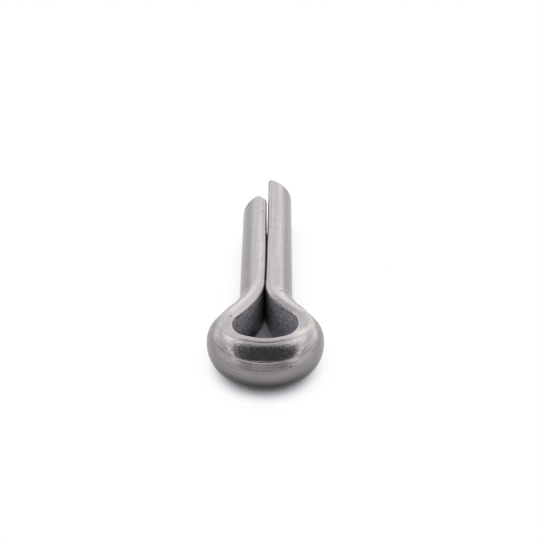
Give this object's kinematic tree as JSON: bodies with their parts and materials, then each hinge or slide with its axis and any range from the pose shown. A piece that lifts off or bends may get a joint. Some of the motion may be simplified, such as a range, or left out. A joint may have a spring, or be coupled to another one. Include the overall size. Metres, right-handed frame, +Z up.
{
  "type": "cotter pin",
  "caption": "Split pin of half-round steel wire folded flat to flat, with a round eye at the fold and one leg longer than the other.",
  "frame": {"origin": "centre of the pin's footprint, on the surface it lies on", "axes": "+Y along the shank from the eye to the legs' ends, +Z up through the eye, +X towards the long leg"},
  "size_m": [0.0122, 0.0332, 0.0057],
  "materials": {
    "drawn_steel": "satin"
  },
  "bodies": {
    "root": {"cotter_pin": "drawn_steel"}
  },
  "joints": []
}
